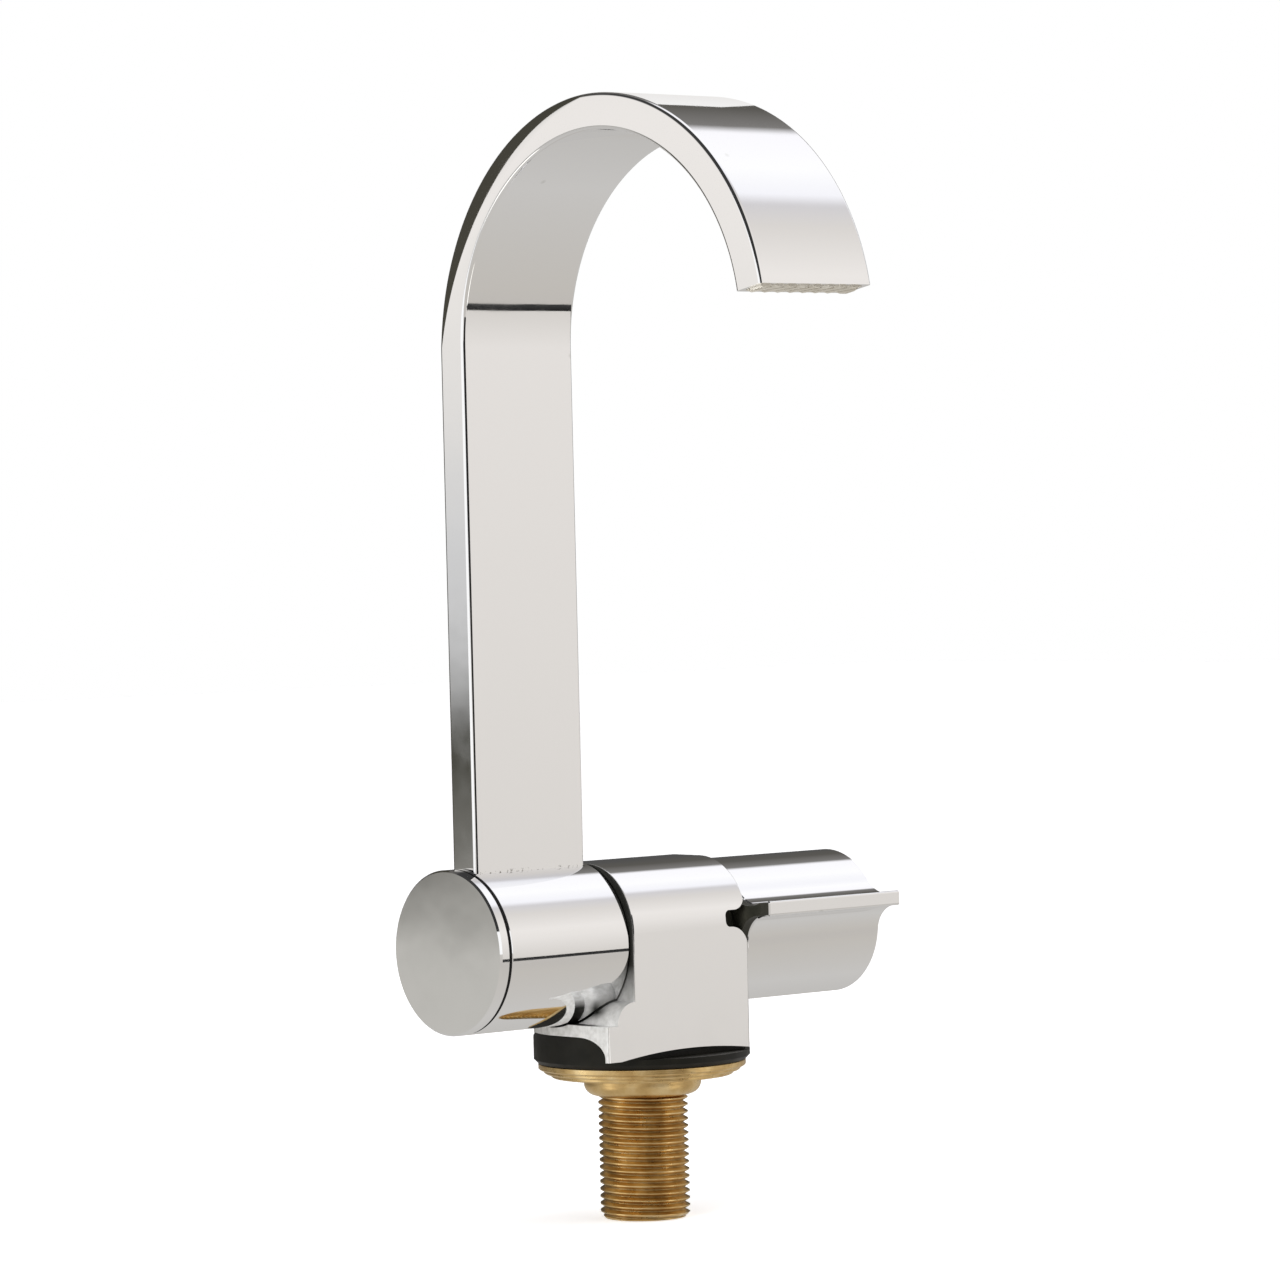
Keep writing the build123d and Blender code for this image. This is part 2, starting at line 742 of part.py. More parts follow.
# Hub barrel with its bushes, stop pin, end cap and the fold retaining pieces
bush_radius = hub_bore_radius + bush_wall
glide_radius = stop_inner - glide_washer_clear
washer_recess_end = bush_inner_start
left_bush_left = recess_end
left_bush_right = min(left_bush_left + bush_length, left_seal_low - axle_seal_land)
hub_slot_gap = static_gap
channel_front = spout_front + spout_wall
channel_back = spout_back - spout_wall
with BuildPart() as hub_barrel:
    hub_outline = outline(
        fold_plane,
        (hub_left, hub_recess_radius),
        (hub_left, hub_radius - hub_edge),
        (hub_left + hub_edge, hub_radius),
        (hub_right - hub_edge, hub_radius),
        (hub_right, hub_radius - hub_edge),
        (hub_right, glide_radius + static_gap),
        (washer_recess_end, glide_radius + static_gap),
        (washer_recess_end, bush_radius),
        (right_bush_left, bush_radius),
        (right_bush_left, hub_bore_radius),
        (left_bush_right, hub_bore_radius),
        (left_bush_right, bush_radius),
        (recess_end, bush_radius),
        (recess_end, hub_recess_radius),
    )
    revolve(hub_outline, axis=fold_axis)
    # Slot for the root of the spout, and the port under it
    with BuildSketch(Plane.XY.offset(fold_axis_height + root_height)):
        with Locations(((spout_left + spout_right) / 2, -spout_forward)):
            Rectangle(spout_width + 2 * hub_slot_gap, spout_thickness + 2 * hub_slot_gap)
    extrude(amount=hub_radius, mode=Mode.SUBTRACT)
    with BuildSketch(Plane.XY.offset(fold_axis_height)):
        with Locations((channel_middle, -spout_forward)):
            Rectangle(hub_port_width, channel_back - channel_front)
    extrude(amount=hub_radius, mode=Mode.SUBTRACT)
    # Hole for the stop pin
    stop_pin_end = body_left + stop_pin_reach
    stop_pin_start = stop_pin_end - stop_pin_length
    with BuildSketch(cross_plane(stop_pin_start)):
        with Locations((stop_y, stop_z)):
            Circle(stop_pin_radius)
    extrude(amount=stop_pin_length, mode=Mode.SUBTRACT)
finish(hub_barrel.part, "hub_barrel")

with BuildPart() as stop_pin:
    with BuildSketch(cross_plane(stop_pin_start)):
        with Locations((stop_y, stop_z)):
            Circle(stop_pin_radius)
    extrude(amount=stop_pin_length)
    chamfer(stop_pin.faces().sort_by(Axis.X)[-1].edges(), length=stop_pin_gap)
finish(stop_pin.part, "stop_pin")

with BuildPart() as bush_inner:
    bush_face = band(fold_plane, (right_bush_left, hub_bore_radius), (bush_inner_start, bush_radius))
    revolve(bush_face, axis=fold_axis)
finish(bush_inner.part, "bush_inner")

with BuildPart() as bush_outer:
    bush_face = band(fold_plane, (left_bush_left, hub_bore_radius), (left_bush_right, bush_radius))
    revolve(bush_face, axis=fold_axis)
finish(bush_outer.part, "bush_outer")

with BuildPart() as glide_washer:
    glide_face = band(
        fold_plane,
        (body_left - glide_washer_thickness, axle_radius + turning_gap),
        (body_left, glide_radius - turning_gap),
    )
    revolve(glide_face, axis=fold_axis)
finish(glide_washer.part, "glide_washer")

with BuildPart() as disc_spring:
    spring_low = axle_end + turning_gap
    spring_high = spring_low + disc_spring_height - turning_gap
    spring_face = outline(
        fold_plane,
        (spring_low, hub_bore_radius),
        (spring_low + disc_spring_thickness, hub_bore_radius),
        (spring_high, hub_recess_radius - disc_spring_clear),
        (spring_high - disc_spring_thickness, hub_recess_radius - disc_spring_clear),
    )
    revolve(spring_face, axis=fold_axis)
finish(disc_spring.part, "disc_spring")

with BuildPart() as retaining_washer:
    washer_face = band(
        fold_plane,
        (axle_end - retaining_washer_thickness, retaining_screw_radius + static_gap),
        (axle_end, hub_recess_radius - retaining_washer_clear),
    )
    revolve(washer_face, axis=fold_axis)
finish(retaining_washer.part, "retaining_washer")

with BuildPart() as retaining_screw:
    head_inner = axle_end - retaining_washer_thickness
    head_outer = head_inner - retaining_head_height
    screw_outline = outline(
        fold_plane,
        (head_outer, 0),
        (head_outer, retaining_head_radius),
        (head_inner, retaining_head_radius),
        (head_inner, retaining_screw_radius - static_gap),
        (axle_end + retaining_screw_length, retaining_screw_radius - static_gap),
        (axle_end + retaining_screw_length, 0),
    )
    revolve(screw_outline, axis=fold_axis)
    with BuildSketch(cross_plane(head_outer)):
        RegularPolygon(retaining_head_radius * hex_socket_size_share, 6)
    extrude(amount=retaining_head_height * hex_socket_depth_share, mode=Mode.SUBTRACT)
finish(retaining_screw.part, "retaining_screw")

with BuildPart() as cap_gasket:
    gasket_face = band(
        fold_plane,
        (cap_inner, hub_recess_radius),
        (hub_left, hub_radius - cap_gasket_inset),
    )
    revolve(gasket_face, axis=fold_axis)
finish(cap_gasket.part, "cap_gasket")

with BuildPart() as end_cap:
    rim_radius = hub_recess_radius - static_gap
    cap_outline = outline(
        fold_plane,
        (cap_outer, 0),
        (cap_outer, hub_radius - cap_chamfer),
        (cap_outer + cap_chamfer, hub_radius),
        (cap_inner, hub_radius),
        (cap_inner, rim_radius),
        (hub_left + cap_rim_length, rim_radius),
        (hub_left + cap_rim_length, rim_radius - cap_rim_wall),
        (cap_inner, rim_radius - cap_rim_wall),
        (cap_inner, 0),
    )
    revolve(cap_outline, axis=fold_axis)
finish(end_cap.part, "end_cap")


# The ribbon spout: a hollow rectangular tube, straight and then arched forward
def ribbon(inset, side_inset, low):
    """The ribbon, or with insets the water channel inside it."""
    outer = arch_radius - inset
    inner = arch_inner_radius + inset
    back = arch_center + outer
    front = arch_center + inner
    turn = 180 - math.degrees(mouth_lift)
    outer_arc = CenterArc((arch_center, spout_rise), outer, 0, turn, mode=Mode.PRIVATE)
    inner_arc = CenterArc((arch_center, spout_rise), inner, turn, -turn, mode=Mode.PRIVATE)
    with BuildPart() as solid:
        with BuildSketch(cross_plane(spout_left + side_inset)):
            with BuildLine():
                Line((front, low), (back, low))
                Line((back, low), (back, spout_rise))
                add(outer_arc)
                Line(outer_arc @ 1, inner_arc @ 0)
                add(inner_arc)
                Line((front, spout_rise), (front, low))
            make_face()
        extrude(amount=spout_width - 2 * side_inset)
    return solid.part


with BuildPart() as spout_tube:
    add(ribbon(0, 0, root_height))
    long_edges = spout_tube.faces().filter_by(Axis.X).edges().filter_by(Axis.Y, reverse=True)
    fillet(long_edges, radius=spout_edge)
    add(ribbon(spout_wall, spout_wall, root_height), mode=Mode.SUBTRACT)
finish(spout_tube.part, "spout_tube")

# Flow straightener in the mouth of the spout: slanted vanes with a notch at each one
insert_outer = arch_radius - spout_wall - static_gap
insert_inner = arch_inner_radius + spout_wall + static_gap
insert_width = spout_width - 2 * (spout_wall + static_gap)
insert_middle = insert_length / 2 - insert_proud
insert_y = mouth_y + insert_middle * math.sin(mouth_lift)
insert_z = mouth_z + insert_middle * math.cos(mouth_lift)
with BuildPart() as outlet_insert:
    with BuildSketch(cross_plane(spout_left + spout_wall + static_gap)):
        with Locations((arch_center, spout_rise)):
            Circle(insert_outer)
            Circle(insert_inner, mode=Mode.SUBTRACT)
        with Locations(Location((insert_y, insert_z), -math.degrees(mouth_lift))):
            Rectangle(arch_radius, insert_length, mode=Mode.INTERSECT)
    extrude(amount=insert_width)
    vane_pitch = insert_width / insert_vane_count
    vane_reach = (insert_outer - insert_inner) / 2
    slant = math.radians(insert_vane_slant)
    vane_run = mouth_plane.x_dir * math.cos(slant) - mouth_plane.y_dir * math.sin(slant)
    vane_face = mouth_plane.x_dir * math.sin(slant) + mouth_plane.y_dir * math.cos(slant)
    slot_reach = (vane_reach - insert_rim) / math.cos(slant)
    notch_half = vane_pitch * insert_notch_share / 2
    for index in range(insert_vane_count):
        vane_x = spout_wall + static_gap + (index + 1 / 2) * vane_pitch
        vane_origin = mouth_plane.from_local_coords((vane_x, 0, insert_proud))
        vane_plane = Plane(origin=vane_origin, x_dir=vane_run, z_dir=vane_face)
        with BuildSketch(vane_plane):
            Rectangle(insert_slot_width, 2 * (insert_length + overrun))
        extrude(amount=slot_reach, both=True, mode=Mode.SUBTRACT)
        with BuildSketch(vane_plane):
            with BuildLine():
                Polyline((-notch_half, 0), (notch_half, 0), (0, insert_notch_height), close=True)
            make_face()
        extrude(amount=2 * vane_reach, both=True, mode=Mode.SUBTRACT)
finish(outlet_insert.part, "outlet_insert")

# Ceramic valve. Its half-moon ports are set a quarter turn apart at rest, which is shut.
drive_bar_length = 2 * (moving_disc_radius - drive_bar_width)


def half_moon(x, start_angle, thickness):
    """The cutter of one port through a ceramic disc."""
    with BuildPart() as cutter:
        with BuildSketch(cross_plane(x)):
            add(ring_part(disc_port_inner, disc_port_outer, start_angle))
        extrude(amount=thickness)
    return cutter.part


with BuildPart() as seat_seal:
    seat_face = band(
        fold_plane,
        (cavity_end, bulkhead_port_radius + static_gap),
        (fixed_disc_start, seat_seal_radius),
    )
    revolve(seat_face, axis=fold_axis)
finish(seat_seal.part, "seat_seal")

with BuildPart() as fixed_disc:
    disc_face = band(
        fold_plane, (fixed_disc_start, 0), (fixed_disc_start + disc_thickness, fixed_disc_radius)
    )
    revolve(disc_face, axis=fold_axis)
    add(
        half_moon(fixed_disc_start - overrun, -stop_start_angle, disc_thickness + 2 * overrun),
        mode=Mode.SUBTRACT,
    )
finish(fixed_disc.part, "fixed_disc")

with BuildPart() as moving_disc:
    disc_face = band(
        fold_plane, (moving_disc_start, 0), (moving_disc_start + disc_thickness, moving_disc_radius)
    )
    revolve(disc_face, axis=fold_axis)
    add(
        half_moon(
            moving_disc_start - overrun, stop_start_angle, disc_thickness + 2 * overrun
        ),
        mode=Mode.SUBTRACT,
    )
    with BuildSketch(cross_plane(moving_disc_start + disc_thickness - drive_bar_height)):
        Rectangle(drive_bar_length + 2 * turning_gap, drive_bar_width + 2 * turning_gap)
    extrude(amount=drive_bar_height + overrun, mode=Mode.SUBTRACT)
finish(moving_disc.part, "moving_disc")

with BuildPart() as valve_spindle:
    shaft = band(fold_plane, (spindle_foot_start, 0), (shell_left, spindle_radius))
    revolve(shaft, axis=fold_axis)
    with BuildSketch(cross_plane(spindle_foot_start)):
        Circle(moving_disc_radius)
        Rectangle(2 * moving_disc_radius, spindle_foot_width, mode=Mode.INTERSECT)
    extrude(amount=spindle_foot_height)
    with BuildSketch(cross_plane(shell_left)):
        Rectangle(spindle_square, spindle_square)
    extrude(amount=spindle_square_length)
    bar_depth = drive_bar_height - turning_gap
    with BuildSketch(cross_plane(spindle_foot_start - bar_depth - disc_slip)):
        Rectangle(drive_bar_length, drive_bar_width)
    extrude(amount=bar_depth + disc_slip)
    groove_low = gland_start + spindle_seal_inset
    spindle_groove_radius = spindle_radius - spindle_seal_depth
    spindle_groove = band(
        fold_plane,
        (groove_low, spindle_groove_radius),
        (groove_low + spindle_seal_width, spindle_radius + overrun),
    )
    revolve(spindle_groove, axis=fold_axis, mode=Mode.SUBTRACT)
    spindle_tap = band(
        fold_plane, (spindle_end - lever_screw_length, 0), (spindle_end + overrun, spindle_tap_radius)
    )
    revolve(spindle_tap, axis=fold_axis, mode=Mode.SUBTRACT)
finish(valve_spindle.part, "valve_spindle")

neck_bore_radius = spindle_radius + turning_gap
spindle_seal_space = neck_bore_radius - spindle_groove_radius
finish(
    seal_ring(
        spindle_groove_radius + spindle_seal_space / 2,
        spindle_seal_space / 2 - static_gap,
        cross_plane(groove_low + spindle_seal_width / 2),
    ),
    "spindle_seal",
)

with BuildPart() as valve_body:
    valve_radius = cavity_radius - static_gap
    disc_room = fixed_disc_radius + static_gap
    valve_outline = outline(
        fold_plane,
        (fixed_disc_start, disc_room),
        (fixed_disc_start, valve_radius),
        (window_left, valve_radius),
        (window_left, valve_radius - valve_channel_depth),
        (window_right, valve_radius - valve_channel_depth),
        (window_right, valve_radius),
        (gland_start, valve_radius),
        (gland_start, valve_neck_radius),
        (gland_start + valve_neck_length, valve_neck_radius),
        (gland_start + valve_neck_length, neck_bore_radius),
        (valve_step, neck_bore_radius),
        (valve_step, disc_room),
    )
    revolve(valve_outline, axis=fold_axis)
    for index in range(valve_window_count):
        window_angle = 2 * math.pi * (index + 1 / 2) / valve_window_count
        window_way = Vector(0, math.cos(window_angle), math.sin(window_angle))
        window_origin = (window_middle, 0, fold_axis_height)
        with BuildSketch(Plane(origin=window_origin, x_dir=(1, 0, 0), z_dir=window_way)):
            Rectangle(window_right - window_left, valve_window_width)
        extrude(amount=cavity_radius, mode=Mode.SUBTRACT)
finish(valve_body.part, "valve_body")

with BuildPart() as gland_nut:
    nut_face = band(
        fold_plane,
        (gland_start, valve_neck_radius + static_gap),
        (cover_ring_start, cavity_radius - static_gap),
    )
    revolve(nut_face, axis=fold_axis)
    with BuildSketch(cross_plane(cover_ring_start - gland_nut_slot_depth)):
        Rectangle(2 * cavity_radius, gland_nut_slot)
    extrude(amount=gland_nut_slot_depth + overrun, mode=Mode.SUBTRACT)
finish(gland_nut.part, "gland_nut")

with BuildPart() as cover_ring:
    cover_face = band(
        fold_plane,
        (cover_ring_start, cover_ring_inner),
        (body_right - turning_gap, cover_ring_radius - static_gap),
    )
    revolve(cover_face, axis=fold_axis)
finish(cover_ring.part, "cover_ring")


# Lever
def lever_section(x):
    """The outside of the lever across the fold axis: a round bar with a hollowed finger lip."""
    lip_bottom = lip_top_rise - lip_thickness
    valley = math.radians(lip_valley_angle)
    root = math.radians(lip_root_angle)
    valley_start = (-lever_radius * math.cos(valley), lever_radius * math.sin(valley))
    valley_way = (-math.sin(valley), -math.cos(valley))
    root_end = (-lever_radius * math.cos(root), -lever_radius * math.sin(root))
    root_way = (-math.sin(root), math.cos(root))
    root_start = (-lip_reach + lip_root_inset, lip_bottom)
    with BuildSketch(cross_plane(x)) as section:
        with BuildLine():
            TangentArc(valley_start, (-lip_reach, lip_top_rise), tangent=valley_way)
            Polyline((-lip_reach, lip_top_rise), (-lip_reach, lip_bottom), root_start)
            TangentArc(root_end, root_start, tangent=root_way)
            ThreePointArc(root_end, (lever_radius, 0), valley_start)
        make_face()
        fillet(section.vertices().sort_by(Axis.X)[:2], radius=lip_round)
    return section.sketch


with BuildPart() as lever_shell:
    extrude(lever_section(shell_left), amount=lever_length)
    lever_rims = lever_shell.faces().filter_by(Axis.X).edges()
    chamfer(lever_rims, length=lever_edge)
    web_left = boss_end - lever_web
    for start, end in ((shell_left - overrun, web_left), (boss_end, shell_right + overrun)):
        hollow = band(fold_plane, (start, 0), (end, lever_radius - lever_wall))
        revolve(hollow, axis=fold_axis, mode=Mode.SUBTRACT)
    cap_right = shell_right - lever_cap_inset
    cap_left = cap_right - lever_cap_thickness
    cap_seat_radius = lever_radius - lever_wall + lever_cap_ledge
    cap_seat = band(fold_plane, (cap_left, 0), (shell_right + overrun, cap_seat_radius))
    revolve(cap_seat, axis=fold_axis, mode=Mode.SUBTRACT)
    with BuildSketch(cross_plane(web_left - overrun)):
        Rectangle(carrier_boss + 2 * static_gap, carrier_boss + 2 * static_gap)
    extrude(amount=lever_web + 2 * overrun, mode=Mode.SUBTRACT)
finish(lever_shell.part, "lever_shell")

# The black carrier joins the lever to the spindle, and its plate shows at the notch
with BuildPart() as lever_carrier:
    plate_face = offset(lever_section(lever_left), amount=-carrier_inset, mode=Mode.PRIVATE)
    extrude(plate_face, amount=carrier_plate_thickness)
    journal = band(
        fold_plane,
        (lever_left - journal_length, 0),
        (lever_left, cover_ring_inner - turning_gap),
    )
    revolve(journal, axis=fold_axis)
    with BuildSketch(cross_plane(shell_left)):
        Rectangle(carrier_boss, carrier_boss)
    extrude(amount=carrier_boss_length)
    neck_room = band(
        fold_plane,
        (lever_left - journal_length - overrun, 0),
        (gland_start + valve_neck_length + carrier_neck_gap, valve_neck_radius + carrier_neck_gap),
    )
    revolve(neck_room, axis=fold_axis, mode=Mode.SUBTRACT)
    shaft_room = band(fold_plane, (lever_left - overrun, 0), (shell_left, spindle_radius + static_gap))
    revolve(shaft_room, axis=fold_axis, mode=Mode.SUBTRACT)
    with BuildSketch(cross_plane(shell_left)):
        Rectangle(spindle_square + 2 * static_gap, spindle_square + 2 * static_gap)
    extrude(amount=spindle_square_length, mode=Mode.SUBTRACT)
    screw_way = band(
        fold_plane, (spindle_end - overrun, 0), (boss_end + overrun, lever_screw_radius + turning_gap)
    )
    revolve(screw_way, axis=fold_axis, mode=Mode.SUBTRACT)
finish(lever_carrier.part, "lever_carrier")

with BuildPart() as lever_washer:
    washer_face = band(
        fold_plane,
        (boss_end, lever_screw_radius + static_gap),
        (boss_end + lever_washer_thickness, lever_washer_radius),
    )
    revolve(washer_face, axis=fold_axis)
finish(lever_washer.part, "lever_washer")

with BuildPart() as lever_screw:
    head_left = boss_end + lever_washer_thickness
    head_right = head_left + lever_screw_head_height
    screw_outline = outline(
        fold_plane,
        (head_left - lever_screw_length, 0),
        (head_left - lever_screw_length, lever_screw_radius),
        (head_left, lever_screw_radius),
        (head_left, lever_screw_head_radius),
        (head_right, lever_screw_head_radius),
        (head_right, 0),
    )
    revolve(screw_outline, axis=fold_axis)
    with BuildSketch(cross_plane(head_right)):
        RegularPolygon(lever_screw_head_radius * hex_socket_size_share, 6)
    extrude(amount=-lever_screw_head_height * hex_socket_depth_share, mode=Mode.SUBTRACT)
finish(lever_screw.part, "lever_screw")

with BuildPart() as lever_cap:
    cap_face = outline(
        fold_plane,
        (cap_left, 0),
        (cap_left, cap_seat_radius - static_gap),
        (cap_right - lever_cap_chamfer, cap_seat_radius - static_gap),
        (cap_right, cap_seat_radius - static_gap - lever_cap_chamfer),
        (cap_right, 0),
    )
    revolve(cap_face, axis=fold_axis)
finish(lever_cap.part, "lever_cap")
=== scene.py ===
"""Dresses the folding caravan tap: chrome, brass and black plastic in a bright studio."""

import json
import math

import bmesh
import bpy
from mathutils import Matrix, Vector


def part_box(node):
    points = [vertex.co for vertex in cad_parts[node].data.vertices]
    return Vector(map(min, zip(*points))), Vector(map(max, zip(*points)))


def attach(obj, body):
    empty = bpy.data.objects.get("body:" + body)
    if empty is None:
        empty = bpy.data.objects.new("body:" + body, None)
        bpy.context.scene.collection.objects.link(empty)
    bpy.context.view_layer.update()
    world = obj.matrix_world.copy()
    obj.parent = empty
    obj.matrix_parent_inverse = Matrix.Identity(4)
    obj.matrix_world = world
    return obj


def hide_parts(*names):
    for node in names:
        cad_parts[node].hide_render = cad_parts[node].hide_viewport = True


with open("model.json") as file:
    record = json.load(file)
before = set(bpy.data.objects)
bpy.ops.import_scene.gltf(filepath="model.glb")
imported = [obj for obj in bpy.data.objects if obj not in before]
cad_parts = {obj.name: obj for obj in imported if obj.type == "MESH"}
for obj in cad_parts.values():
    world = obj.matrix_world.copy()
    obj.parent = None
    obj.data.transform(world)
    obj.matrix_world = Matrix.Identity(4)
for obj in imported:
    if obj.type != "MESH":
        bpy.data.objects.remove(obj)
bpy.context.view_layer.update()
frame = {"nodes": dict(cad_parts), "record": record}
nodes = frame["nodes"]

# Sizes of the tap, in metres
FOLD_AXIS_HEIGHT = 0.0257
HUB_RADIUS = 0.015
SPOUT_THICKNESS = 0.0065
SPOUT_WALL = 0.0012
SPOUT_ROUND = 0.0007
SPOUT_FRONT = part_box("spout_tube")[1][1] - SPOUT_THICKNESS
ROOT_LINE = FOLD_AXIS_HEIGHT + math.sqrt(HUB_RADIUS**2 - SPOUT_FRONT**2)
ROOT_MARK_HEIGHT = 0.0006
ARCH_RADIUS = 0.043
OUTLET_RISE = 0.0077
THREAD_RADIUS = 0.008331
THREAD_DEPTH = 0.000856
THREAD_PITCH = 0.001337
THREAD_CREST_SHARE = 0.17
THREAD_ROOT_SHARE = 0.13
THREAD_FLANK_SHARE = (1 - THREAD_CREST_SHARE - THREAD_ROOT_SHARE) / 2
TAIL_CHAMFER = 0.0009
WATER_RADIUS = 0.00425
COLLAR_RADIUS = 0.0109
COLLAR_HEIGHT = 0.0035
COLLAR_ROUND = 0.0022
FLANGE_RINGS = ((0.017, 0.00075), (0.0183, 0.00075), (0.0193, 0.0012))
FLANGE_EDGE = 0.00025
SPIGOT_RADIUS = 0.0066
BODY_LEFT = -0.0154

# The mouth is a pocket about this deep
MOUTH_DEPTH = 0.006

# The arch's outer left corner is rolled off, most in the middle of the first part of its turn
ROLLED_WIDTH = 0.005
ROLLED_DEPTH = 0.0012
ROLLED_SPAN = math.radians(86)

# How finely the pieces are made
TURN_STEPS = 128
ARCH_STEPS = 144
STRAIGHT_STEPS = 4
MOUTH_STEPS = 4
CORNER_STEPS = 8
PITCH_STEPS = 12

# Reflectance of the plating, and the strength at which the studio's levels show on it as written
CHROME_TINT = (0.88, 0.88, 0.885)
STUDIO_STRENGTH = 1 / CHROME_TINT[0]

# The body's unpolished left side: where it starts, how metallic it is, and the heights over which
# it darkens with painted shade towards the narrow gap under the hub. The tops of the cradle's pocket
# under the hub get painted shade to the left and behind, in the painted shade's tone.
CAST_START = (BODY_LEFT + 0.0001, BODY_LEFT + 0.0003)
CAST_METAL = 0.4
PAINTED_SHADE_HEIGHTS = (0.011, 0.022)
POCKET_SHADE_ACROSS = (-0.0189, -0.0169)
POCKET_SHADE_BEHIND = (-0.0125, -0.0095)
PAINTED_SHADE_TONE = (0.03, 0.03, 0.026)

# Most of a noise's values lie in this range
NOISE_MIDDLE = (0.3, 0.7)


def shown(red, green, blue):
    """The linear colour that displays at these levels."""
    return tuple(
        (level / 255 / 12.92) if level < 10.3 else ((level / 255 + 0.055) / 1.055) ** 2.4
        for level in (red, green, blue)
    )


def grey(level):
    """A neutral colour at a display level from 0 to 255."""
    return shown(level, level, level)


# Node helpers
def material(name):
    """A new node material with its tree and its shader."""
    made = bpy.data.materials.new(name)
    made.use_nodes = True
    tree = made.node_tree
    return made, tree, tree.nodes["Principled BSDF"]


def node(tree, kind, **settings):
    """A node of a kind, with its properties and its unlinked sockets set."""
    made = tree.nodes.new(kind)
    for key, value in settings.items():
        if key in made.inputs:
            made.inputs[key].default_value = value
        else:
            setattr(made, key, value)
    return made


def coordinates(tree, kind="Object"):
    """Coordinates of a kind, and each of their three numbers."""
    place = tree.nodes.new("ShaderNodeTexCoord")
    parts = tree.nodes.new("ShaderNodeSeparateXYZ")
    tree.links.new(place.outputs[kind], parts.inputs["Vector"])
    return place, parts


def noise(tree, scale, detail=3.0, stretch=(1, 1, 1)):
    """Noise in object space, in cells per metre along each axis."""
    place = tree.nodes.new("ShaderNodeTexCoord")
    mapping = tree.nodes.new("ShaderNodeMapping")
    mapping.inputs["Scale"].default_value = stretch
    texture = tree.nodes.new("ShaderNodeTexNoise")
    texture.inputs["Scale"].default_value = scale
    texture.inputs["Detail"].default_value = detail
    tree.links.new(place.outputs["Object"], mapping.inputs["Vector"])
    tree.links.new(mapping.outputs["Vector"], texture.inputs["Vector"])
    return texture.outputs["Fac"]


def ramp(tree, value, stops):
    """A colour ramp through (position, colour) stops."""
    made = tree.nodes.new("ShaderNodeValToRGB")
    elements = made.color_ramp.elements
    while len(elements) < len(stops):
        elements.new(0.5)
    for element, (position, colour) in zip(elements, stops):
        element.position = position
        element.color = (*colour, 1)
    tree.links.new(value, made.inputs["Fac"])
    return made.outputs["Color"]


def rescale(tree, value, source, target):
    """The value mapped from one range to another, held at both ends."""
    made = node(tree, "ShaderNodeMapRange")
    made.inputs["From Min"].default_value = source[0]
    made.inputs["From Max"].default_value = source[1]
    made.inputs["To Min"].default_value = target[0]
    made.inputs["To Max"].default_value = target[1]
    tree.links.new(value, made.inputs["Value"])
    return made.outputs["Result"]


def spread(tree, value, low, high):
    """The middle of a noise spread over a range."""
    return rescale(tree, value, NOISE_MIDDLE, (low, high))


def product(tree, *values):
    """The product of several values."""
    result = values[0]
    for value in values[1:]:
        made = node(tree, "ShaderNodeMath", operation="MULTIPLY")
        tree.links.new(result, made.inputs[0])
        tree.links.new(value, made.inputs[1])
        result = made.outputs["Value"]
    return result


def blended(tree, share, first, second, kind="RGBA"):
    """A mix of two colours, or of two numbers, by a share."""
    made = node(tree, "ShaderNodeMix", data_type=kind)
    pair = {"RGBA": (6, 7), "FLOAT": (2, 3)}[kind]
    tree.links.new(share, made.inputs[0])
    tree.links.new(first, made.inputs[pair[0]])
    tree.links.new(second, made.inputs[pair[1]])
    return made.outputs[{"RGBA": 2, "FLOAT": 0}[kind]]


def bump(tree, height, distance, under=None):
    """A bump of a height in metres, on top of another one."""
    made = node(tree, "ShaderNodeBump", Distance=distance)
    tree.links.new(height, made.inputs["Height"])
    if under is not None:
        tree.links.new(under, made.inputs["Normal"])
    return made.outputs["Normal"]


def plain_colour(tree, colour):
    """One colour, to be mixed with others."""
    made = tree.nodes.new("ShaderNodeRGB")
    made.outputs[0].default_value = (*colour, 1)
    return made.outputs[0]


def dress(tree, shader, colour, haze, surface):
    """Links a shader's colour, roughness and bump."""
    tree.links.new(colour, shader.inputs["Base Color"])
    tree.links.new(haze, shader.inputs["Roughness"])
    tree.links.new(surface, shader.inputs["Normal"])


